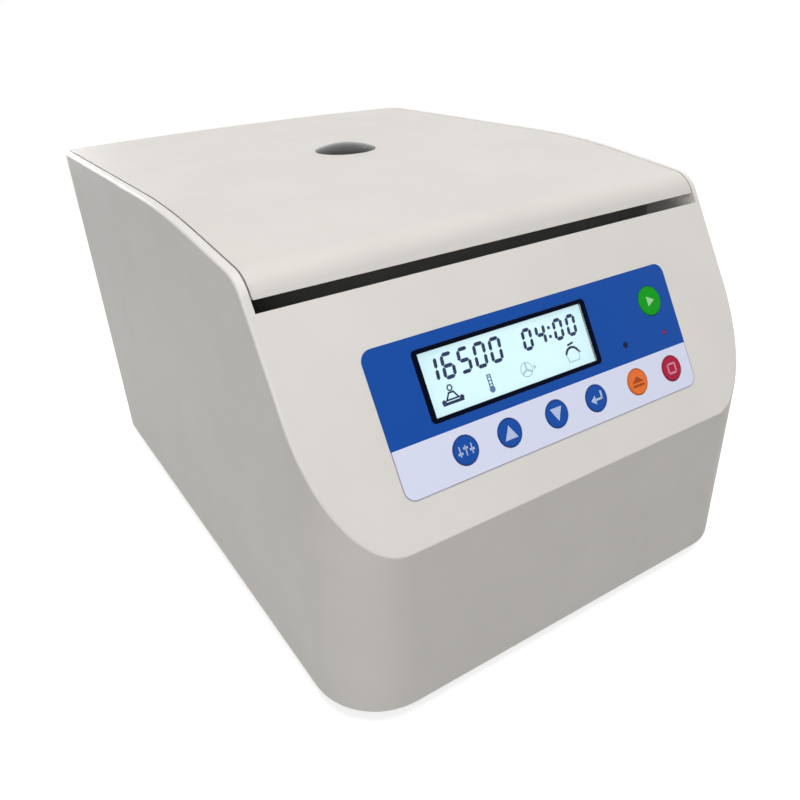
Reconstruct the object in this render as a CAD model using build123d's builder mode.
"""Benchtop micro-tube centrifuge: moulded housing, hinged lid, chamber, fixed-angle rotor and controls.

Frame: +Z up, the operator side faces -Y, the origin is under the middle of the body at the feet.
Lengths are in millimetres and angles in degrees.
"""
import os
from math import cos, radians, sin, sqrt, tan

from build123d import *

os.makedirs("parts", exist_ok=True)

# ---------------------------------------------------------------- housing form
width = 300.0
depth = 408.8
foot_height = 10.0
crease_height = 99.4          # top of the upright lower front, above the housing's bottom edge
fascia_tilt = 59.5            # slope of the control fascia above level
roof_tilt = 6.6               # slope of the front part of the roof
roof_break_back = 170.0       # where the roof levels out, behind the front face
roof_break_rise = 29.2        # roof above the deck there
roof_rear_rise = 26.8         # roof above the deck at the back
roof_crown = 1.9              # rise of the roof from the cheeks to the middle
knee_radius = 18.0
roof_break_radius = 620.0
front_corner = 39.5
back_corner = 16.5
edge_round = 1.6
cheek = 4.5                   # side wall, seen edge-on beside the lid
shell_wall = 3.6              # front, fascia and rear wall
fit_gap = 0.3                 # between pieces of one body that slip into each other
sheet = 2.0                   # base plate
panel_sheet = 1.5             # rear panel

# ---------------------------------------------------------------- lid and hinge
lid_side_gap = 1.0
lid_wall = 3.0
fascia_rise = 2.88            # upper edge of the fascia above the deck
finger_gap = 6.1              # measured up the fascia
lip_bevel = (4.4, 3.2)        # run and drop of the bevel inside the fascia's top edge
pivot_inset = 18.0            # hinge axis in front of the back face
pivot_rise = 11.0             # hinge axis above the deck
rear_wall_drop = 15.5         # top of the rear wall below the hinge axis
lid_lift = 1.2                # lid skirt above the deck
liner_lift = 4.0              # underside of the lid liner above the deck
liner_sheet = 2.0
liner_front = 14.0            # front edge of the liner behind the lid's lip
hinge_spread = 95.0
hinge_pin_radius = 3.0
knuckle_radius = 6.0
knuckle_length = 20.0
ear_sheet = 3.0
ear_radius = 7.0
running_gap = 0.4
pin_clearance = 0.08

# ---------------------------------------------------------------- chamber, rotor and drive
rotor_back = 238.0            # rotor axis behind the front face
deck_height = 205.0           # top of the deck above the housing's bottom edge
deck_sheet = 3.0
bowl_radius = 90.0            # inside
bowl_sheet = 1.5
bowl_depth = 104.0            # chamber floor below the deck
bowl_rim = 8.0
bowl_corner = 14.0
gasket_width = 4.0
gasket_height = 2.5
gasket_round = 0.9
seal_hole = 22.0
port_radius = 20.4
port_dome = 3.8
port_seat = 1.5
port_bore = 17.8
rotor_drop = 65.0             # underside of the rotor below the deck
rotor_radius = 69.0
pocket_count = 12
pocket_tilt = 45.0
pocket_radius = 5.6
pocket_depth = 36.0
pocket_mouth_radius = 38.0
pocket_mouth_height = 34.0    # above the rotor's underside
shaft_radius = 5.0
spindle_radius = 6.0
motor_radius = 46.0
motor_plate_drop = 121.0      # underside of the motor plate below the deck
motor_plate_sheet = 3.0
post_spread = 75.0
post_radius = 6.0
damper_height = 5.0

# ---------------------------------------------------------------- controls
overlay_size = (205.5, 75.0)
overlay_centre = (-1.75, 59.75)
overlay_corner = 6.5
overlay_sheet = 0.7
overlay_recess = 0.5
display_size = (107.6, 32.5)
display_centre = (-21.2, 71.9)
display_border = (3.2, 2.3)
display_depth = 1.4
key_radius = 7.5
start_key_radius = 8.6
key_row = 36.3
key_proud = 0.5
key_gap = 0.3
key_travel = 0.5
board_depth = 10.0            # face of the display board behind the fascia surface
board_sheet = 1.6
switch_height = 3.0
led_radius = 1.5
keys = {
    "key_set": (-65.1, key_row, key_radius),
    "key_up": (-37.1, key_row, key_radius),
    "key_down": (-5.0, key_row, key_radius),
    "key_enter": (23.8, key_row, key_radius),
    "key_open": (56.2, key_row, key_radius),
    "key_stop": (84.6, key_row, key_radius),
    "key_start": (83.5, 77.5, start_key_radius),
}
led_places = [(55.8, 58.2), (87.7, 57.5)]

# ---------------------------------------------------------------- lid catch and lock
catch_lead = 36.0             # middle of the catch in front of the chamber
catch_size = (20.0, 4.0)
catch_gap = 5.0
hook_drop = 23.0              # hook tip below the deck
hook_corner = 4.0
hook_foot = (30.0, 18.0, 1.5)
eye = (12.0, 8.0)
eye_drop = 15.0               # middle of the eye below the deck
bolt_size = (8.0, 5.0)
bolt_travel = 8.0
bolt_rest_gap = 2.0           # released bolt behind the hook
bolt_hold = 14.0              # length of bolt that stays in the lock when thrown
lock_size = (40.0, 25.0, 24.0)

# ---------------------------------------------------------------- rear services
window_side = 30.0            # window from the outer side faces
window_low = 17.0             # lower edge of the window above the floor
window_rise = 150.0
window_corner = 6.0
panel_lap = 8.0               # rear panel beyond its window
panel_foot = 16.0
vent_slot = (58.0, 3.4)
vent_pitch = 7.0
vent_rows = 9
outlet_slot = (16.0, 3.4)
outlet_pitch = 14.0
outlet_count = 7
outlet_drop = 17.0            # row of outlets below the window's upper edge
fan_inset = (54.0, 55.0)      # middle of the fan from the side and lower edge of the window
fan_size = 70.0
fan_thickness = 20.0
fan_bore_radius = 33.0
fan_bolt_inset = 4.5
fan_bolt_radius = 2.0
fan_hub = 12.0
fan_spoke = 3.0
fan_guard_sheet = 2.5
fan_pin_radius = 2.0
fan_pin_clearance = 0.1
blade_count = 7
blade_chord = 13.0
blade_sheet = 1.4
blade_pitch = 38.0
blade_tip_gap = 2.0
inlet_inset = (42.0, 31.0)    # middle of the inlet from the side and lower edge of the window
inlet_flange = (48.0, 22.5, 2.4)
inlet_body = (27.0, 20.0, 18.0)
inlet_cavity = (24.0, 16.4, 15.0)
inlet_key = 4.0               # cut corners of the inlet's mouth
inlet_pin = (2.0, 4.0, 13.0)
inlet_pin_spread = (7.0, 2.0)
switch_rise = 42.0            # switch above the inlet
switch_flange = (30.0, 24.0, 2.0)
switch_wall = 2.0
rocker_width = 19.0
rocker_height = 15.0
rocker_inset = 2.0            # rocker axis behind the rear panel
rocker_throw = 16.0
rocker_pin_radius = 1.2       # pivot pins of the switch, standing in from its side walls
rocker_pin_length = 1.8
rocker_gap = 0.8
fuse_spread = 50.0            # fuse drawer beside the inlet
fuse_flange = (26.0, 14.0, 2.5)
fuse_depth = 22.0
plug_in_lap = 2.0             # flange of a snap-in fitting beyond its body
snap_gap = 0.1                # snap-in body to its hole

# ---------------------------------------------------------------- derived places
front = -depth / 2
back = depth / 2
base = foot_height
deck_top = base + deck_height
roof_break_height = deck_height + roof_break_rise
roof_rear_height = deck_height + roof_rear_rise
fascia_run = (deck_height + fascia_rise - crease_height) / sin(radians(fascia_tilt))
half = width / 2
well = half - cheek                       # inner face of the cheeks
lid_half = well - lid_side_gap
rotor_y = front + rotor_back
pivot_y = back - pivot_inset
pivot_z = deck_top + pivot_rise
panel_y = back - shell_wall               # outer face of the rear panel
catch_y = rotor_y - bowl_radius - catch_lead
lid_floor = deck_top + lid_lift
liner_z = deck_top + liner_lift
rotor_z = deck_top - rotor_drop
bowl_floor = deck_top - bowl_depth
motor_plate_z = deck_top - motor_plate_drop
window_size = (width - 2 * window_side, window_rise)
window_height = window_low + window_rise / 2
fan_place = (fan_inset[0] - window_size[0] / 2, window_low + fan_inset[1])
inlet_place = (window_size[0] / 2 - inlet_inset[0], window_low + inlet_inset[1])
switch_place = (inlet_place[0], inlet_place[1] + switch_rise)
fuse_place = (inlet_place[0] - fuse_spread, inlet_place[1])
outlet_height = window_low + window_rise - outlet_drop


def cross(line_a, line_b):
    """Meeting point of two lines, each given as (slope, height at the front face)."""
    y = (line_b[1] - line_a[1]) / (line_a[0] - line_b[0])
    return y, line_a[0] * y + line_a[1]


def side_lines(inset, rise=0.0):
    """Fascia, front roof and rear roof as (slope, height) lines, inset, with the roof raised by rise."""
    rear_run = depth - roof_break_back
    rear_slope = (roof_rear_height - roof_break_height) / rear_run
    slopes = (tan(radians(fascia_tilt)), tan(radians(roof_tilt)), rear_slope)
    heights = (
        crease_height,
        roof_break_height + rise - slopes[1] * roof_break_back,
        roof_break_height + rise - slopes[2] * roof_break_back,
    )
    return [(m, h - inset * sqrt(1 + m * m)) for m, h in zip(slopes, heights)]


def side_corners(inset, rise=0.0):
    """Knee and roof break of the side profile, in the model's Y and Z."""
    fascia, roof, rear = side_lines(inset, rise)
    return [(front + y, base + z) for y, z in (cross(fascia, roof), cross(roof, rear))]


def roof_height(y, inset=0.0, rise=0.0):
    """Height of the level part of the roof above the floor at y."""
    slope, height = side_lines(inset, rise)[2]
    return base + height + slope * (y - front)


def fascia_point(run):
    """Point of the fascia surface at a distance up from the crease, as (y, z)."""
    tilt = radians(fascia_tilt)
    return front + run * cos(tilt), base + crease_height + run * sin(tilt)


gap_low_y, gap_low_z = fascia_point(fascia_run)
gap_high_y, gap_high_z = fascia_point(fascia_run + finger_gap)
fascia = Plane(
    origin=(0, front, base + crease_height),
    x_dir=(1, 0, 0),
    z_dir=(0, -sin(radians(fascia_tilt)), cos(radians(fascia_tilt))),
)
rear_face = Plane(origin=(0, panel_y, 0), x_dir=(-1, 0, 0), z_dir=(0, 1, 0))


def side_profile(inset, low, x=0.0, rise=0.0):
    """Closed side profile from the height low up to the roof, inset from the outer form, at x."""
    slope, height = side_lines(inset)[0]
    knee, roof_break = side_corners(inset, rise)
    crease_z = base + height + slope * inset
    rear_y = back - inset
    with BuildSketch(Plane.YZ.offset(x), mode=Mode.PRIVATE) as outline:
        with BuildLine():
            top = FilletPolyline(
                (front + inset, crease_z),
                knee,
                roof_break,
                (rear_y, roof_height(rear_y, inset, rise)),
                radius=[knee_radius - inset, roof_break_radius - inset],
            )
            Polyline(top @ 1, (rear_y, low), (front + inset, low), top @ 0)
        make_face()
    return outline.sketch


def crowned_body(inset, low):
    """Body under the crowned roof, inset from the outer form, as wide as the housing."""
    sections = [
        side_profile(inset, low, -half),
        side_profile(inset, low, 0.0, roof_crown),
        side_profile(inset, low, half),
    ]
    return loft(sections=sections, mode=Mode.PRIVATE)


with BuildPart() as envelope:
    with BuildSketch(Plane.XY.offset(base)) as plan:
        Rectangle(width, depth)
        fillet(plan.vertices().group_by(Axis.Y)[0], front_corner)
        fillet(plan.vertices().group_by(Axis.Y)[-1], back_corner)
    extrude(amount=roof_break_height + roof_crown + knee_radius)
    add(crowned_body(0.0, base), mode=Mode.INTERSECT)
    rim = (
        envelope.edges()
        .filter_by(lambda edge: edge.bounding_box().min.Z > base + crease_height / 2)
        .filter_by(Axis.Z, reverse=True)
        .filter_by(lambda edge: abs(edge.center().X) > 1 or abs(abs(edge.center().Y) - depth / 2) < 1)
    )
    fillet(rim, edge_round)


def save(piece, name):
    """Label a finished piece and write its STEP file."""
    piece.part.label = name
    export_step(piece.part, f"parts/{name}.step")


# ================================================================ housing
boss_inset = 5.5
boss_pitch = 120.0
boss_places = [(side * (well - boss_inset), y) for side in (-1, 1) for y in (-boss_pitch, 0.0, boss_pitch)]
boss_radius = 4.5
boss_height = 36.0
boss_rib = 2.4
bore_depth = 10.0
screw_radius = 1.5
screw_head = (3.5, 1.6)
screw_tip_gap = 1.0
on_floor = (Align.CENTER, Align.CENTER, Align.MIN)
plate_z = base                       # underside of the base plate
ledge = 3.0
ledge_ends = (40.0, 30.0)            # ledge from the fascia's upper edge and from the hinge axis
board_margin = (12.0, 13.9)          # display board from the crease and from the fascia's upper edge
board_size = (212.0, fascia_run - board_margin[0] - board_margin[1])
board_middle = (0.0, board_margin[0] + board_size[1] / 2)
board_post_radius = 3.0
board_post_inset = (6.0, 6.0)
board_post_spread = (board_size[0] / 2 - board_post_inset[0], board_size[1] / 2 - board_post_inset[1])
board_posts = [
    (board_middle[0] + u * board_post_spread[0], board_middle[1] + v * board_post_spread[1])
    for u in (-1, 1)
    for v in (-1, 1)
]

with BuildPart() as housing_shell:
    add(envelope.part)
    with BuildSketch(Plane.XY.offset(base)) as hollow:
        Rectangle(2 * well, depth - 2 * shell_wall)
        fillet(hollow.vertices().group_by(Axis.Y)[0], front_corner - cheek)
        fillet(hollow.vertices().group_by(Axis.Y)[-1], back_corner - cheek)
    cavity = extrude(amount=roof_break_height + knee_radius, mode=Mode.PRIVATE)
    add(cavity & crowned_body(shell_wall, base - 1), mode=Mode.SUBTRACT)
    with BuildSketch(Plane.YZ):
        with BuildLine():
            Polyline(
                (front - 1, gap_low_z),
                (gap_low_y, gap_low_z),
                (gap_low_y + lip_bevel[0], gap_low_z - lip_bevel[1]),
                (0, gap_low_z - lip_bevel[1]),
                (0, pivot_z - rear_wall_drop),
                (back + 1, pivot_z - rear_wall_drop),
                (back + 1, base + roof_break_height + knee_radius),
                (front - 1, base + roof_break_height + knee_radius),
                close=True,
            )
        make_face()
    extrude(amount=well, both=True, mode=Mode.SUBTRACT)
    # service window in the rear wall
    with BuildSketch(rear_face):
        with Locations((0, window_height)):
            RectangleRounded(*window_size, window_corner)
    extrude(amount=shell_wall + 1, mode=Mode.SUBTRACT)
    # screw bosses with ribs to the side walls
    with BuildSketch(Plane.XY.offset(plate_z + sheet)):
        with Locations(boss_places):
            Circle(boss_radius)
        for x, y in boss_places:
            with Locations(((x + (well if x > 0 else -well)) / 2, y)):
                Rectangle(well - abs(x), boss_rib)
    extrude(amount=boss_height)
    with Locations([(x, y, plate_z + sheet) for x, y in boss_places]):
        Cylinder(screw_radius, bore_depth, align=on_floor, mode=Mode.SUBTRACT)
    # ledges that carry the deck
    with BuildSketch(Plane.XZ.offset(ledge_ends[1] - pivot_y)):
        for side in (-1, 1):
            with Locations((side * (well - ledge / 2), deck_top - deck_sheet - ledge / 2)):
                Rectangle(ledge, ledge)
    extrude(amount=pivot_y - gap_low_y - ledge_ends[0] - ledge_ends[1])
    # posts for the display board, behind the fascia
    with BuildSketch(fascia.offset(-board_depth)):
        with Locations(board_posts):
            Circle(board_post_radius)
    extrude(amount=board_depth - shell_wall / 2)
    # recess and openings for the controls
    with BuildSketch(fascia.offset(-overlay_recess)):
        with Locations(overlay_centre):
            RectangleRounded(*overlay_size, overlay_corner)
    extrude(amount=overlay_recess + 1, mode=Mode.SUBTRACT)
    with BuildSketch(fascia.offset(-board_depth + 1)):
        with Locations(display_centre):
            Rectangle(display_size[0] + 2 * display_border[0], display_size[1] + 2 * display_border[1])
        for u, v, radius in keys.values():
            with Locations((u, v)):
                Circle(radius + key_gap)
        with Locations(led_places):
            Circle(led_radius + key_gap)
    extrude(amount=board_depth, mode=Mode.SUBTRACT)
save(housing_shell, "housing_shell")

foot_inset = (35.0, 38.0)
foot_radius = 10.5
foot_pit_radius = 5.0
foot_pit = 7.0
foot_taper = 8.0
inlet_slots = 9
inlet_slot = (44.0, 5.0)
inlet_slot_pitch = 14.0
inlet_slots_back = 75.0
foot_spread = (half - foot_inset[0], back - foot_inset[1])
foot_places = [(x, y) for x in (-foot_spread[0], foot_spread[0]) for y in (-foot_spread[1], foot_spread[1])]
post_places = [(x, rotor_y + y) for x in (-post_spread, post_spread) for y in (-post_spread, post_spread)]

with BuildPart() as base_plate:
    with BuildSketch(Plane.XY.offset(plate_z)) as floor_plan:
        Rectangle(2 * well, depth - 2 * shell_wall)
        fillet(floor_plan.vertices().group_by(Axis.Y)[0], front_corner - cheek)
        fillet(floor_plan.vertices().group_by(Axis.Y)[-1], back_corner - cheek)
        offset(amount=-fit_gap, kind=Kind.INTERSECTION)
        with Locations((0, front + inlet_slots_back)):
            with GridLocations(inlet_slot_pitch, 0, inlet_slots, 1):
                SlotOverall(*inlet_slot, rotation=90, mode=Mode.SUBTRACT)
        with Locations(boss_places, foot_places):
            Circle(screw_radius, mode=Mode.SUBTRACT)
    extrude(amount=sheet)
save(base_plate, "base_plate")

with BuildPart() as case_screws:
    with BuildSketch(Plane.XY.offset(plate_z - screw_head[1])):
        with Locations(boss_places):
            Circle(screw_head[0])
    extrude(amount=screw_head[1])
    with BuildSketch(Plane.XY.offset(plate_z)):
        with Locations(boss_places):
            Circle(screw_radius)
    extrude(amount=sheet + bore_depth - screw_tip_gap)
save(case_screws, "case_screws")

with BuildPart() as rubber_feet:
    with BuildSketch():
        with Locations(foot_places):
            Circle(foot_radius)
    extrude(amount=foot_height, taper=-foot_taper)
    with BuildSketch():
        with Locations(foot_places):
            Circle(foot_pit_radius)
    extrude(amount=foot_pit, mode=Mode.SUBTRACT)
    with BuildSketch():
        with Locations(foot_places):
            Circle(screw_radius)
    extrude(amount=foot_height, mode=Mode.SUBTRACT)
save(rubber_feet, "rubber_feet")

with BuildPart() as foot_screws:
    with BuildSketch(Plane.XY.offset(foot_pit - screw_head[1])):
        with Locations(foot_places):
            Circle(screw_head[0])
    extrude(amount=screw_head[1])
    with BuildSketch(Plane.XY.offset(foot_pit)):
        with Locations(foot_places):
            Circle(screw_radius)
    extrude(amount=foot_height - foot_pit + sheet + screw_head[1])
save(foot_screws, "foot_screws")

# ---------------------------------------------------------------- deck under the lid
trough_depth = 21.0                  # underside of the finger trough below the deck
trough_lead = 9.0                    # rear wall of the trough in front of the catch
gutter_lead = 10.0                   # rear gutter in front of the hinge axis
trough_floor = deck_top - trough_depth
deck_front = gap_low_y + shell_wall / sin(radians(fascia_tilt)) + fit_gap
trough_back = catch_y - trough_lead
deck_back = pivot_y - gutter_lead
gutter_drop = 24.0                   # gutter floor below the hinge axis
catch_slot_corner = 2.0
deck_screw_inset = 15.4
deck_screw_runs = (6.0, 5.0, 55.0)   # behind the catch, behind the rotor axis, in front of the gutter
deck_screw_rows = (
    catch_y + deck_screw_runs[0],
    rotor_y + deck_screw_runs[1],
    deck_back - deck_screw_runs[2],
)
deck_screws_at = [(side * (well - deck_screw_inset), y) for side in (-1, 1) for y in deck_screw_rows]

with BuildPart() as deck_panel:
    with BuildSketch(Plane.YZ):
        with BuildLine():
            Polyline(
                (deck_front, gap_low_z - lip_bevel[1]),
                (deck_front + deck_sheet, gap_low_z - lip_bevel[1]),
                (deck_front + deck_sheet, trough_floor + deck_sheet),
                (trough_back - deck_sheet, trough_floor + deck_sheet),
                (trough_back - deck_sheet, deck_top),
                (deck_back, deck_top),
                (deck_back, pivot_z - gutter_drop),
                (panel_y - fit_gap, pivot_z - gutter_drop),
                (panel_y - fit_gap, pivot_z - gutter_drop - deck_sheet),
                (deck_back - deck_sheet, pivot_z - gutter_drop - deck_sheet),
                (deck_back - deck_sheet, deck_top - deck_sheet),
                (trough_back, deck_top - deck_sheet),
                (trough_back, trough_floor),
                (deck_front, trough_floor),
                close=True,
            )
        make_face()
    extrude(amount=well - fit_gap, both=True)
    rear_corners = deck_panel.edges().filter_by(Axis.Z).group_by(Axis.Y)[-1]
    fillet(rear_corners, back_corner - cheek)
    with BuildSketch(Plane.XY.offset(deck_top - deck_sheet)):
        with Locations((0, rotor_y)):
            Circle(bowl_radius + bowl_sheet + fit_gap)
        with Locations((0, catch_y)):
            RectangleRounded(catch_size[0] + catch_gap, catch_size[1] + 2 * catch_gap, catch_slot_corner)
        with Locations(deck_screws_at):
            Circle(screw_radius)
    extrude(amount=deck_sheet, mode=Mode.SUBTRACT)
save(deck_panel, "deck_panel")

with BuildPart() as deck_screws:
    with BuildSketch(Plane.XY.offset(deck_top)):
        with Locations(deck_screws_at):
            Circle(screw_head[0])
    extrude(amount=screw_head[1])
    with BuildSketch(Plane.XY.offset(deck_top - deck_sheet)):
        with Locations(deck_screws_at):
            Circle(screw_radius)
    extrude(amount=deck_sheet)
save(deck_screws, "deck_screws")

# ---------------------------------------------------------------- chamber
rotor_axis = Plane(origin=(0, rotor_y, 0), x_dir=(1, 0, 0), z_dir=(0, -1, 0))

with BuildPart() as chamber_bowl:
    with BuildSketch(rotor_axis):
        with BuildLine():
            outer = bowl_radius + bowl_sheet
            wall_line = FilletPolyline(
                (seal_hole, bowl_floor - bowl_sheet),
                (outer, bowl_floor - bowl_sheet),
                (outer, deck_top),
                radius=bowl_corner + bowl_sheet,
            )
            Polyline(
                wall_line @ 1,
                (bowl_radius + bowl_rim, deck_top),
                (bowl_radius + bowl_rim, deck_top + bowl_sheet),
                (bowl_radius, deck_top + bowl_sheet),
            )
            inner_line = FilletPolyline(
                (bowl_radius, deck_top + bowl_sheet),
                (bowl_radius, bowl_floor),
                (seal_hole, bowl_floor),
                radius=bowl_corner,
            )
            Line(inner_line @ 1, wall_line @ 0)
        make_face()
    revolve(axis=Axis((0, rotor_y, 0), (0, 0, 1)))
save(chamber_bowl, "chamber_bowl")

with BuildPart() as chamber_gasket:
    with BuildSketch(rotor_axis):
        with Locations((bowl_radius + bowl_rim / 2, deck_top + bowl_sheet)):
            Rectangle(gasket_width, gasket_height - fit_gap, align=(Align.CENTER, Align.MIN))
    revolve(axis=Axis((0, rotor_y, 0), (0, 0, 1)))
    fillet(chamber_gasket.edges().group_by(Axis.Z)[-1], gasket_round)
save(chamber_gasket, "chamber_gasket")

# ---------------------------------------------------------------- motor and its mounting
flange_radius = 64.0
flange_sheet = 4.0
flange_z = motor_plate_z + motor_plate_sheet + damper_height
motor_nose = 14.0
nose_rise = 6.0                      # motor's nose above the chamber floor
nose_flare = (8.0, 3.0)
motor_edge = 4.0
motor_clearance = 22.0               # underside of the motor above the housing's bottom edge
plate_margin = 13.0
plate_corner = 10.0
plate_play = 4.0                     # hole of the plate beyond the motor
damper_ring_radius = 56.0
damper_radius = 6.0
damper_count = 4
shaft_bore_depth = 16.0
seal_flange = 6.0                    # seal beyond its hole
seal_sheet = 2.0
seal_step = 3.0
seal_lift = (1.5, 0.5)
boss_top = bowl_floor + nose_rise
motor_foot = base + motor_clearance
plate_side = 2 * (post_spread + plate_margin)

with BuildPart() as mount_posts:
    with BuildSketch(Plane.XY.offset(plate_z + sheet)):
        with Locations(post_places):
            RegularPolygon(post_radius, 6)
    extrude(amount=motor_plate_z - plate_z - sheet)
save(mount_posts, "mount_posts")

with BuildPart() as motor_plate:
    with BuildSketch(Plane.XY.offset(motor_plate_z)):
        with Locations((0, rotor_y)):
            RectangleRounded(plate_side, plate_side, plate_corner)
            Circle(motor_radius + plate_play, mode=Mode.SUBTRACT)
    extrude(amount=motor_plate_sheet)
save(motor_plate, "motor_plate")

with BuildPart() as motor_dampers:
    with BuildSketch(Plane.XY.offset(motor_plate_z + motor_plate_sheet)):
        with Locations((0, rotor_y)):
            with PolarLocations(damper_ring_radius, damper_count, start_angle=180 / damper_count):
                Circle(damper_radius)
    extrude(amount=damper_height)
save(motor_dampers, "motor_dampers")

with BuildPart() as motor_body:
    with BuildSketch(rotor_axis):
        with BuildLine():
            Polyline(
                (0, motor_foot),
                (motor_radius - motor_edge, motor_foot),
                (motor_radius, motor_foot + motor_edge),
                (motor_radius, flange_z),
                (flange_radius, flange_z),
                (flange_radius, flange_z + flange_sheet),
                (motor_nose + nose_flare[0], flange_z + flange_sheet),
                (motor_nose, flange_z + flange_sheet + nose_flare[1]),
                (motor_nose, boss_top),
                (shaft_radius + pin_clearance, boss_top),
                (shaft_radius + pin_clearance, boss_top - shaft_bore_depth),
                (0, boss_top - shaft_bore_depth),
                close=True,
            )
        make_face()
    revolve(axis=Axis((0, rotor_y, 0), (0, 0, 1)))
save(motor_body, "motor_body")

with BuildPart() as shaft_seal:
    with BuildSketch(rotor_axis):
        with BuildLine():
            Polyline(
                (motor_nose, bowl_floor + seal_lift[0]),
                (seal_hole - seal_step, bowl_floor + seal_lift[1]),
                (seal_hole - seal_step, bowl_floor),
                (seal_hole + seal_flange, bowl_floor),
                (seal_hole + seal_flange, bowl_floor + seal_sheet),
                (seal_hole - seal_sheet, bowl_floor + seal_step),
                (motor_nose + seal_sheet, boss_top),
                (motor_nose, boss_top),
                close=True,
            )
        make_face()
    revolve(axis=Axis((0, rotor_y, 0), (0, 0, 1)))
save(shaft_seal, "shaft_seal")

# ================================================================ rotor
hub_height = 30.0
hub_radius = (12.0, 14.0)            # top and foot of the hub's cone
rotor_edge = (5.0, 3.0)
rotor_band = 15.0                    # top of the upright rim
rotor_crest = ((47.0, 38.5), (44.0, 40.0))
rotor_dish = (26.0, 22.0)
pocket_lead = 12.0                   # cut in front of the pocket's mouth
pocket_tip_taper = 35.0
seat_radius = 11.0
seat_sheet = 6.0
seat_cone = 6.0
shaft_end_gap = 1.0
stud_radius = 4.0
nut_height = 12.0
nut_radius = 11.0
nut_roof = 3.0
nut_round = 1.5
flute_count = 6
flute_ring_radius = 12.2
flute_radius = 2.6
hub_top = rotor_z + hub_height
shaft_end = boss_top - shaft_bore_depth + shaft_end_gap
stud_top = hub_top + nut_height - nut_roof

with BuildPart() as motor_shaft:
    with BuildSketch(rotor_axis):
        with BuildLine():
            Polyline(
                (0, shaft_end),
                (shaft_radius, shaft_end),
                (shaft_radius, rotor_z - seat_sheet - seat_cone),
                (seat_radius, rotor_z - seat_sheet),
                (seat_radius, rotor_z),
                (spindle_radius, rotor_z),
                (spindle_radius, hub_top),
                (stud_radius, hub_top),
                (stud_radius, stud_top),
                (0, stud_top),
                close=True,
            )
        make_face()
    revolve(axis=Axis((0, rotor_y, 0), (0, 0, 1)))
save(motor_shaft, "motor_shaft")

tilt = radians(pocket_tilt)
pocket_bore = pocket_lead + pocket_depth - pocket_radius
with BuildPart() as rotor_body:
    with BuildSketch(rotor_axis):
        with BuildLine():
            Polyline(
                (spindle_radius, rotor_z),
                (rotor_radius - rotor_edge[0], rotor_z),
                (rotor_radius, rotor_z + rotor_edge[1]),
                (rotor_radius, rotor_z + rotor_band),
                *[(radius, rotor_z + height) for radius, height in rotor_crest],
                (rotor_dish[0], rotor_z + rotor_dish[1]),
                (hub_radius[1], rotor_z + rotor_dish[1]),
                (hub_radius[0], hub_top),
                (spindle_radius, hub_top),
                close=True,
            )
        make_face()
    revolve(axis=Axis((0, rotor_y, 0), (0, 0, 1)))
    for index in range(pocket_count):
        turn = 360.0 * index / pocket_count
        mouth = Vector(pocket_mouth_radius, 0, 0).rotate(Axis.Z, turn)
        mouth += Vector(0, rotor_y, rotor_z + pocket_mouth_height)
        down = Vector(sin(tilt), 0, -cos(tilt)).rotate(Axis.Z, turn)
        pocket = Plane(origin=mouth - down * pocket_lead, z_dir=down)
        with BuildSketch(pocket):
            Circle(pocket_radius)
        extrude(amount=pocket_bore, mode=Mode.SUBTRACT)
        with BuildSketch(pocket.offset(pocket_bore)):
            Circle(pocket_radius)
        extrude(amount=pocket_radius, taper=pocket_tip_taper, mode=Mode.SUBTRACT)
save(rotor_body, "rotor_body")

with BuildPart() as rotor_nut:
    with BuildSketch(Plane.XY.offset(hub_top)):
        with Locations((0, rotor_y)):
            Circle(nut_radius)
            with PolarLocations(flute_ring_radius, flute_count):
                Circle(flute_radius, mode=Mode.SUBTRACT)
    extrude(amount=nut_height)
    fillet(rotor_nut.edges().group_by(Axis.Z)[-1], nut_round)
    with BuildSketch(Plane.XY.offset(hub_top)):
        with Locations((0, rotor_y)):
            Circle(stud_radius)
    extrude(amount=nut_height - nut_roof, mode=Mode.SUBTRACT)
save(rotor_nut, "rotor_nut")

# ================================================================ lid
lip_run = 8.0
lip_chamfer = 4.0
lid_boss_inset = 24.4
lid_boss_radius = 5.0
lid_bore_depth = 7.0
port_play = 0.1
port_lift = 0.3                      # rim of the port above the roof
sleeve_wall = 2.0
liner_corner = 6.0
liner_half = lid_half - lid_wall - fit_gap
liner_rear_gap = 39.0                # rear edge of the liner in front of the hinge axis
lid_boss_ends = (27.0, 16.0)         # end bosses from the liner's front and rear edge
liner_front_y = gap_high_y + liner_front
liner_back_y = pivot_y - liner_rear_gap
lid_boss_rows = (liner_front_y + lid_boss_ends[0], rotor_y, liner_back_y - lid_boss_ends[1])
lid_bosses_at = [(side * (lid_half - lid_boss_inset), y) for side in (-1, 1) for y in lid_boss_rows]
liner_top = liner_z + liner_sheet
port_z = roof_height(rotor_y, 0.0, roof_crown) - port_seat
sky = base + roof_break_height + roof_crown + knee_radius

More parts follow.
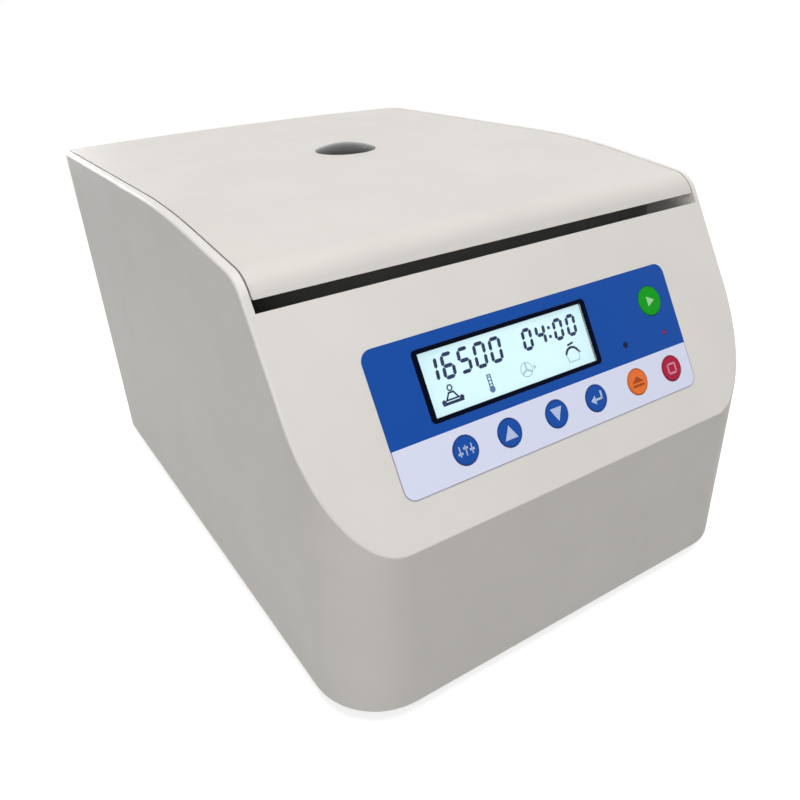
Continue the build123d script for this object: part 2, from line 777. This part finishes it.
with BuildPart() as lid_shell:
    add(envelope.part)
    with BuildSketch(Plane.YZ):
        with BuildLine():
            Polyline(
                (front - 1, gap_high_z),
                (gap_high_y + lip_run, gap_high_z),
                (gap_high_y + lip_run + lip_chamfer, lid_floor),
                (back + 1, lid_floor),
                (back + 1, sky),
                (front - 1, sky),
                close=True,
            )
        make_face()
    extrude(amount=lid_half, both=True, mode=Mode.INTERSECT)
    with BuildSketch(Plane.YZ):
        with Locations((0, lid_floor)):
            Rectangle(2 * depth, 2 * sky)
    lid_block = extrude(amount=lid_half - lid_wall, both=True, mode=Mode.PRIVATE)
    lid_inside = lid_block & crowned_body(lid_wall, base)
    add(lid_inside, mode=Mode.SUBTRACT)
    # screw bosses, trimmed to the roof
    with BuildSketch(Plane.XY.offset(liner_top)):
        with Locations(lid_bosses_at):
            Circle(lid_boss_radius)
    bosses = extrude(amount=sky - liner_top, mode=Mode.PRIVATE)
    add(bosses & crowned_body(lid_wall / 2, base))
    with BuildSketch(Plane.XY.offset(liner_top)):
        with Locations(lid_bosses_at):
            Circle(screw_radius)
    extrude(amount=lid_bore_depth, mode=Mode.SUBTRACT)
    # seat and bore of the viewing port
    with BuildSketch(Plane.XY.offset(port_z)):
        with Locations((0, rotor_y)):
            Circle(port_radius + port_play)
    extrude(amount=sky - port_z, mode=Mode.SUBTRACT)
    with BuildSketch(Plane.XY.offset(liner_top)):
        with Locations((0, rotor_y)):
            Circle(port_bore)
    extrude(amount=sky - liner_top, mode=Mode.SUBTRACT)
save(lid_shell, "lid_shell")

dome_radius = (port_radius**2 + port_dome**2) / (2 * port_dome)
with BuildPart() as port_window:
    rim_z = port_z + port_seat + port_lift
    crown_z = rim_z + port_dome
    with BuildSketch(rotor_axis):
        with BuildLine():
            Polyline((0, crown_z), (0, port_z), (port_radius, port_z), (port_radius, rim_z))
            ThreePointArc(
                (port_radius, rim_z),
                (port_radius / 2, crown_z - dome_radius + sqrt(dome_radius**2 - port_radius**2 / 4)),
                (0, crown_z),
            )
        make_face()
    revolve(axis=Axis((0, rotor_y, 0), (0, 0, 1)))
save(port_window, "port_window")

with BuildPart() as port_sleeve:
    with BuildSketch(Plane.XY.offset(liner_top)):
        with Locations((0, rotor_y)):
            Circle(port_bore + sleeve_wall)
            Circle(port_bore, mode=Mode.SUBTRACT)
    extrude(amount=sky - liner_top)
    add(lid_inside, mode=Mode.INTERSECT)
save(port_sleeve, "port_sleeve")

with BuildPart() as lid_liner:
    with BuildSketch(Plane.XY.offset(liner_z)):
        with Locations((0, (liner_front_y + liner_back_y) / 2)):
            RectangleRounded(2 * liner_half, liner_back_y - liner_front_y, liner_corner)
        with Locations((0, rotor_y)):
            Circle(port_bore, mode=Mode.SUBTRACT)
        with Locations(lid_bosses_at):
            Circle(screw_radius, mode=Mode.SUBTRACT)
    extrude(amount=liner_sheet)
save(lid_liner, "lid_liner")

with BuildPart() as lid_screws:
    with BuildSketch(Plane.XY.offset(liner_z - screw_head[1])):
        with Locations(lid_bosses_at):
            Circle(screw_head[0])
    extrude(amount=screw_head[1])
    with BuildSketch(Plane.XY.offset(liner_z)):
        with Locations(lid_bosses_at):
            Circle(screw_radius)
    extrude(amount=liner_sheet + lid_bore_depth - screw_tip_gap)
save(lid_screws, "lid_screws")

# ---------------------------------------------------------------- catch and lock
hook_back = catch_y + catch_size[1] / 2
lock_front = hook_back + catch_gap
bolt_z = deck_top - eye_drop
bolt_length = lock_front - hook_back - bolt_rest_gap + bolt_travel + bolt_hold

with BuildPart() as lid_catch:
    with BuildSketch(Plane.XZ.offset(-hook_back)) as hook:
        with Locations((0, liner_z)):
            Rectangle(catch_size[0], liner_z - deck_top + hook_drop, align=(Align.CENTER, Align.MAX))
        fillet(hook.vertices().group_by(Axis.Y)[0], hook_corner)
        with Locations((0, bolt_z)):
            Rectangle(*eye, mode=Mode.SUBTRACT)
    extrude(amount=catch_size[1])
    with BuildSketch(Plane.XY.offset(liner_z)):
        with Locations((0, catch_y)):
            RectangleRounded(hook_foot[0], hook_foot[1], hook_corner / 2)
    extrude(amount=-hook_foot[2])
save(lid_catch, "lid_catch")

with BuildPart() as lock_body:
    with BuildSketch(Plane.XY.offset(deck_top - deck_sheet)):
        with Locations((0, lock_front)):
            Rectangle(lock_size[0], lock_size[1], align=(Align.CENTER, Align.MIN))
    extrude(amount=-lock_size[2])
    with BuildSketch(Plane.XZ.offset(-lock_front)):
        with Locations((0, bolt_z)):
            Rectangle(bolt_size[0] + 2 * fit_gap, bolt_size[1] + 2 * fit_gap)
    extrude(amount=-lock_size[1], mode=Mode.SUBTRACT)
save(lock_body, "lock_body")

with BuildPart() as latch_bolt:
    with BuildSketch(Plane.XZ.offset(-hook_back - bolt_rest_gap)):
        with Locations((0, bolt_z)):
            Rectangle(*bolt_size)
    extrude(amount=-bolt_length)
    chamfer(latch_bolt.faces().sort_by(Axis.Y)[0].edges(), 1)
save(latch_bolt, "latch_bolt")

# ---------------------------------------------------------------- hinges
bracket_sheet = 2.0
bracket_run = 35.0                   # front end of the bracket before the axis
bracket_toe = 4.0
bracket_setback = 1.0
bracket_front = pivot_y - bracket_run
bracket_back = deck_back - bracket_setback
ear_crest = 21.0                     # level top of the ear in front of the axis
ear_offset = knuckle_length / 2 + running_gap
pin_half = ear_offset + ear_sheet
pin_head = 1.5
arm_run = (26.0, 6.0)                # arm before and behind the axis
arm_nose = 5.0
arm_front = pivot_y - arm_run[0]
arm_back = pivot_y + arm_run[1]
arm_top = roof_height(arm_front, lid_wall)

for side, x in (("left", -hinge_spread), ("right", hinge_spread)):
    with BuildPart() as hinge_bracket:
        with BuildSketch(Plane.XY.offset(deck_top)):
            with Locations((x, (bracket_front + bracket_back) / 2)):
                Rectangle(2 * pin_half, bracket_back - bracket_front)
        extrude(amount=bracket_sheet)
        for ear_x in (x - pin_half, x + ear_offset):
            with BuildSketch(Plane.YZ.offset(ear_x)):
                with BuildLine():
                    Polyline(
                        (pivot_y, pivot_z + ear_radius),
                        (pivot_y - ear_crest, pivot_z + ear_radius - bracket_sheet),
                        (bracket_front, deck_top + bracket_toe),
                        (bracket_front, deck_top),
                        (bracket_back, deck_top),
                        (pivot_y, pivot_z - ear_radius),
                    )
                    ThreePointArc(
                        (pivot_y, pivot_z - ear_radius),
                        (pivot_y + ear_radius, pivot_z),
                        (pivot_y, pivot_z + ear_radius),
                    )
                make_face()
                with Locations((pivot_y, pivot_z)):
                    Circle(hinge_pin_radius, mode=Mode.SUBTRACT)
            extrude(amount=ear_sheet)
    save(hinge_bracket, f"hinge_bracket_{side}")

    with BuildPart() as hinge_arm:
        with BuildSketch(Plane.YZ.offset(x)):
            with BuildLine():
                Polyline(
                    (pivot_y - knuckle_radius, pivot_z),
                    (arm_front, arm_top - arm_nose),
                    (arm_front, sky),
                    (arm_back, sky),
                    (pivot_y + knuckle_radius, pivot_z),
                )
                ThreePointArc(
                    (pivot_y + knuckle_radius, pivot_z),
                    (pivot_y, pivot_z - knuckle_radius),
                    (pivot_y - knuckle_radius, pivot_z),
                )
            make_face()
            with Locations((pivot_y, pivot_z)):
                Circle(hinge_pin_radius + pin_clearance, mode=Mode.SUBTRACT)
        extrude(amount=knuckle_length / 2, both=True)
        add(lid_inside, mode=Mode.INTERSECT)
    save(hinge_arm, f"hinge_arm_{side}")

with BuildPart() as hinge_pins:
    for x in (-hinge_spread, hinge_spread):
        with BuildSketch(Plane.YZ.offset(x - pin_half)):
            with Locations((pivot_y, pivot_z)):
                Circle(hinge_pin_radius)
        extrude(amount=2 * pin_half)
        with BuildSketch(Plane.YZ.offset(x - pin_half - pin_head), Plane.YZ.offset(x + pin_half)):
            with Locations((pivot_y, pivot_z)):
                Circle(hinge_pin_radius + pin_head)
        extrude(amount=pin_head)
save(hinge_pins, "hinge_pins")

# ================================================================ control fascia
overlay_edge_gap = 0.1
cell_lap = 2.0                       # display cell beyond its window
lens_sheet = 0.8
lens_seat = 0.5
frame_corner = 2.5
switch_side = 6.0
stem_radius = 2.5
cap_sheet = 2.6
cap_round = 0.4
overlay_top = overlay_sheet - overlay_recess
frame_size = (display_size[0] + 2 * display_border[0], display_size[1] + 2 * display_border[1])

with BuildPart() as membrane_overlay:
    with BuildSketch(fascia.offset(-overlay_recess)):
        with Locations(overlay_centre):
            RectangleRounded(*overlay_size, overlay_corner)
            offset(amount=-overlay_edge_gap)
        with Locations(display_centre):
            Rectangle(
                frame_size[0] + 2 * overlay_edge_gap,
                frame_size[1] + 2 * overlay_edge_gap,
                mode=Mode.SUBTRACT,
            )
        for u, v, radius in keys.values():
            with Locations((u, v)):
                Circle(radius + key_gap, mode=Mode.SUBTRACT)
        with Locations(led_places):
            Circle(led_radius + key_gap, mode=Mode.SUBTRACT)
    extrude(amount=overlay_sheet)
save(membrane_overlay, "membrane_overlay")

with BuildPart() as lcd_frame:
    with BuildSketch(fascia.offset(-display_depth)):
        with Locations(display_centre):
            RectangleRounded(*frame_size, frame_corner)
            Rectangle(*display_size, mode=Mode.SUBTRACT)
    extrude(amount=display_depth + overlay_top)
save(lcd_frame, "lcd_frame")

with BuildPart() as lcd_window:
    with BuildSketch(fascia.offset(-display_depth + lens_seat)):
        with Locations(display_centre):
            Rectangle(display_size[0] - overlay_edge_gap, display_size[1] - overlay_edge_gap)
    extrude(amount=lens_sheet)
save(lcd_window, "lcd_window")

with BuildPart() as lcd_panel:
    with BuildSketch(fascia.offset(-board_depth)):
        with Locations(display_centre):
            Rectangle(display_size[0] + 2 * cell_lap, display_size[1] + 2 * cell_lap)
    extrude(amount=board_depth - display_depth)
save(lcd_panel, "lcd_panel")

with BuildPart() as display_board:
    with BuildSketch(fascia.offset(-board_depth - board_sheet)):
        with Locations(board_middle):
            RectangleRounded(*board_size, board_post_radius)
    extrude(amount=board_sheet)
save(display_board, "display_board")

with BuildPart() as key_switches:
    with BuildSketch(fascia.offset(-board_depth)):
        for u, v, radius in keys.values():
            with Locations((u, v)):
                Rectangle(switch_side, switch_side)
    extrude(amount=switch_height)
save(key_switches, "key_switches")

with BuildPart() as status_leds:
    with BuildSketch(fascia.offset(-board_depth)):
        with Locations(led_places):
            Circle(led_radius)
    extrude(amount=board_depth + overlay_top)
save(status_leds, "status_leds")

stem_length = board_depth - switch_height - key_travel - key_gap + key_proud - cap_sheet
for name, (u, v, radius) in keys.items():
    with BuildPart() as key:
        with BuildSketch(fascia.offset(key_proud - cap_sheet)):
            with Locations((u, v)):
                Circle(radius)
        extrude(amount=cap_sheet)
        fillet(key.faces().sort_by(Axis.Z)[-1].edges(), cap_round)
        with BuildSketch(fascia.offset(key_proud - cap_sheet)):
            with Locations((u, v)):
                Circle(stem_radius)
        extrude(amount=-stem_length)
    save(key, name)

# ================================================================ rear services
panel_bottom = plate_z + sheet
panel_top = window_height + window_size[1] / 2 + panel_lap
panel_half = window_size[0] / 2 + panel_lap
switch_hole = (switch_flange[0] - 2 * plug_in_lap, switch_flange[1] - 2 * plug_in_lap)
fuse_hole = (fuse_flange[0] - 2 * plug_in_lap, fuse_flange[1] - 2 * plug_in_lap)

with BuildPart() as rear_panel:
    with BuildSketch(rear_face):
        with Locations((0, (panel_bottom + panel_top) / 2)):
            Rectangle(2 * panel_half, panel_top - panel_bottom)
        with Locations((-fan_place[0], fan_place[1])):
            with GridLocations(0, vent_pitch, 1, vent_rows):
                SlotOverall(*vent_slot, mode=Mode.SUBTRACT)
        with Locations((-fan_place[0], outlet_height)):
            with GridLocations(outlet_pitch, 0, outlet_count, 1):
                SlotOverall(*outlet_slot, rotation=90, mode=Mode.SUBTRACT)
        with Locations((-inlet_place[0], inlet_place[1])):
            Rectangle(inlet_body[0], inlet_body[1], mode=Mode.SUBTRACT)
        with Locations((-switch_place[0], switch_place[1])):
            Rectangle(*switch_hole, mode=Mode.SUBTRACT)
        with Locations((-fuse_place[0], fuse_place[1])):
            Rectangle(*fuse_hole, mode=Mode.SUBTRACT)
    extrude(amount=-panel_sheet)
    with BuildSketch(Plane.XY.offset(panel_bottom)):
        with Locations((0, panel_y)):
            Rectangle(2 * panel_half, panel_foot, align=(Align.CENTER, Align.MAX))
    extrude(amount=panel_sheet)
save(rear_panel, "rear_panel")

panel_inside = panel_y - panel_sheet
fan_face = Plane(origin=(0, panel_inside, 0), x_dir=(-1, 0, 0), z_dir=(0, 1, 0))
guard_face = fan_face.offset(-fan_thickness)
rotor_face = guard_face.offset(fan_guard_sheet + running_gap + fit_gap)
fan_bolt_pitch = fan_size - 2 * fan_bolt_inset
fan_run = fan_thickness - fan_guard_sheet - 3 * running_gap - fit_gap
blade_root = fan_hub - blade_sheet / 2

with BuildPart() as fan_frame:
    with BuildSketch(fan_face):
        with Locations((-fan_place[0], fan_place[1])):
            RectangleRounded(fan_size, fan_size, fan_bolt_inset)
            Circle(fan_bore_radius, mode=Mode.SUBTRACT)
            with GridLocations(fan_bolt_pitch, fan_bolt_pitch, 2, 2):
                Circle(fan_bolt_radius, mode=Mode.SUBTRACT)
    extrude(amount=-fan_thickness)
    with BuildSketch(guard_face):
        with Locations((-fan_place[0], fan_place[1])):
            Circle(fan_hub)
            with PolarLocations(fan_bore_radius * 2 / 3, 3):
                Rectangle(fan_bore_radius * 0.7, fan_spoke)
    extrude(amount=fan_guard_sheet)
    with BuildSketch(guard_face.offset(fan_guard_sheet)):
        with Locations((-fan_place[0], fan_place[1])):
            Circle(fan_pin_radius)
    extrude(amount=fan_run / 2)
save(fan_frame, "fan_frame")

with BuildPart() as fan_rotor:
    with BuildSketch(rotor_face):
        with Locations((-fan_place[0], fan_place[1])):
            Circle(fan_hub)
    extrude(amount=fan_run)
    with BuildSketch(rotor_face):
        with Locations((-fan_place[0], fan_place[1])):
            Circle(fan_pin_radius + fan_pin_clearance)
    extrude(amount=fan_run / 2, mode=Mode.SUBTRACT)
    for index in range(blade_count):
        turn = radians(360.0 * index / blade_count)
        outward = (cos(turn), 0, sin(turn))
        root = (
            fan_place[0] + blade_root * outward[0],
            panel_inside - fan_thickness / 2,
            fan_place[1] + blade_root * outward[2],
        )
        with BuildSketch(Plane(origin=root, x_dir=(-sin(turn), 0, cos(turn)), z_dir=outward)):
            Rectangle(blade_chord, blade_sheet, rotation=blade_pitch)
        extrude(amount=fan_bore_radius - blade_tip_gap - blade_root)
save(fan_rotor, "fan_rotor")

with BuildPart() as power_inlet:
    with BuildSketch(rear_face):
        with Locations((-inlet_place[0], inlet_place[1])):
            RectangleRounded(inlet_flange[0], inlet_flange[1], 3)
    extrude(amount=inlet_flange[2])
    with BuildSketch(rear_face):
        with Locations((-inlet_place[0], inlet_place[1])):
            Rectangle(inlet_body[0] - 2 * snap_gap, inlet_body[1] - 2 * snap_gap)
    extrude(amount=-inlet_body[2])
    with BuildSketch(rear_face.offset(inlet_flange[2])) as mouth_plan:
        with Locations((-inlet_place[0], inlet_place[1])):
            Rectangle(inlet_cavity[0], inlet_cavity[1])
        chamfer(mouth_plan.vertices().group_by(Axis.Y)[-1], inlet_key)
    extrude(amount=-inlet_cavity[2] - inlet_flange[2], mode=Mode.SUBTRACT)
save(power_inlet, "power_inlet")

pin_u, pin_v = inlet_pin_spread
with BuildPart() as inlet_pins:
    with BuildSketch(rear_face.offset(-inlet_cavity[2])):
        with Locations((-inlet_place[0], inlet_place[1])):
            with Locations((-pin_u, -pin_v), (0, pin_v), (pin_u, -pin_v)):
                Rectangle(inlet_pin[0], inlet_pin[1])
    extrude(amount=inlet_pin[2])
save(inlet_pins, "inlet_pins")

with BuildPart() as fuse_drawer:
    with BuildSketch(rear_face):
        with Locations((-fuse_place[0], fuse_place[1])):
            RectangleRounded(fuse_flange[0], fuse_flange[1], plug_in_lap)
    extrude(amount=fuse_flange[2])
    with BuildSketch(rear_face):
        with Locations((-fuse_place[0], fuse_place[1])):
            Rectangle(fuse_hole[0] - 2 * snap_gap, fuse_hole[1] - 2 * snap_gap)
    extrude(amount=-fuse_depth)
save(fuse_drawer, "fuse_drawer")

rocker_tail = 6.0
rocker_crest = 3.6
rocker_waist = 1.8
rocker_keel = 2.0
rocker_ease = 0.4
rocker_y = panel_y - rocker_inset
bezel_half = rocker_width / 2 + fit_gap
pin_bore = rocker_pin_length - fit_gap + running_gap / 2
well_depth = rocker_inset + rocker_tail + 2 * switch_wall
with BuildPart() as switch_bezel:
    with BuildSketch(rear_face):
        with Locations((-switch_place[0], switch_place[1])):
            RectangleRounded(switch_flange[0], switch_flange[1], plug_in_lap)
    extrude(amount=switch_flange[2])
    with BuildSketch(rear_face):
        with Locations((-switch_place[0], switch_place[1])):
            Rectangle(switch_hole[0] - 2 * snap_gap, switch_hole[1] - 2 * snap_gap)
    extrude(amount=-well_depth - switch_wall)
    with BuildSketch(rear_face.offset(switch_flange[2])):
        with Locations((-switch_place[0], switch_place[1])):
            Rectangle(2 * bezel_half, rocker_height + 2 * rocker_gap)
    extrude(amount=-well_depth - switch_flange[2], mode=Mode.SUBTRACT)
    # pivot pins in the side walls
    for pin_x in (-bezel_half, bezel_half - rocker_pin_length):
        with BuildSketch(Plane.YZ.offset(switch_place[0] + pin_x)):
            with Locations((rocker_y, switch_place[1])):
                Circle(rocker_pin_radius)
        extrude(amount=rocker_pin_length)
save(switch_bezel, "switch_bezel")

rocker_rest = radians(-rocker_throw / 2)
rocker_plane = Plane(
    origin=(switch_place[0], rocker_y, switch_place[1]),
    x_dir=(0, cos(rocker_rest), sin(rocker_rest)),
    z_dir=(1, 0, 0),
)
with BuildPart() as power_rocker:
    with BuildSketch(rocker_plane):
        tall = rocker_height / 2
        with BuildLine():
            Polyline(
                (rocker_crest, tall - rocker_ease),
                (rocker_waist, 0),
                (rocker_crest, rocker_ease - tall),
                (-rocker_waist, 2 * rocker_ease - tall),
                (-rocker_tail, -rocker_keel),
                (-rocker_tail, rocker_keel),
                (-rocker_waist, tall - 2 * rocker_ease),
                close=True,
            )
        make_face()
    extrude(amount=rocker_width / 2, both=True)
    for side in (-1, 1):
        with BuildSketch(Plane.YZ.offset(switch_place[0] + side * rocker_width / 2)):
            with Locations((rocker_y, switch_place[1])):
                Circle(rocker_pin_radius + pin_clearance)
        extrude(amount=-side * pin_bore, mode=Mode.SUBTRACT)
save(power_rocker, "power_rocker")

# ---------------------------------------------------------------- drive electronics
drive_gap = (2.1, 11.4)              # to the motor plate and to the side wall
drive_board_length = 150.0
drive_board_y = -10.0
drive_post_inset = (4.0, 5.0)
drive_post = (2.5, 8.0)
capacitor = (11.0, 24.0)
converter = (30.0, 34.0)
capacitor_rows = (-40.0, -10.0)
converter_row = 40.0
sink_sheet = 5.0
sink_length = 120.0
sink_edge = 1.8                      # outer fin from the edge of its base
fin_count = 7
fin = (2.0, 26.0)
drive_near = plate_side / 2 + drive_gap[0]
drive_width = well - drive_gap[1] - drive_near
drive_board_size = (drive_width, drive_board_length)
fin_pitch = (drive_width - 2 * sink_edge - fin[0]) / (fin_count - 1)
drive_x = drive_near + drive_width / 2
drive_post_pitch = (drive_width - 2 * drive_post_inset[0], drive_board_length - 2 * drive_post_inset[1])
drive_floor = plate_z + sheet

with BuildPart() as drive_board:
    with BuildSketch(Plane.XY.offset(drive_floor + drive_post[1])):
        with Locations((-drive_x, drive_board_y)):
            Rectangle(*drive_board_size)
    extrude(amount=board_sheet)
    with BuildSketch(Plane.XY.offset(drive_floor)):
        with Locations((-drive_x, drive_board_y)):
            with GridLocations(*drive_post_pitch, 2, 2):
                Circle(drive_post[0])
    extrude(amount=drive_post[1])
    with BuildSketch(Plane.XY.offset(drive_floor + drive_post[1] + board_sheet)):
        with Locations([(-drive_x, drive_board_y + row) for row in capacitor_rows]):
            Circle(capacitor[0])
        with Locations((-drive_x, drive_board_y + converter_row)):
            Rectangle(*converter)
    extrude(amount=capacitor[1])
save(drive_board, "drive_board")

with BuildPart() as heatsink:
    with BuildSketch(Plane.XZ.offset(sink_length / 2)):
        with Locations((drive_x, drive_floor)):
            Rectangle(drive_width, sink_sheet, align=(Align.CENTER, Align.MIN))
        with Locations((drive_x, drive_floor + sink_sheet / 2)):
            with GridLocations(fin_pitch, 0, fin_count, 1):
                Rectangle(*fin, align=(Align.CENTER, Align.MIN))
    extrude(amount=-sink_length)
save(heatsink, "heatsink")
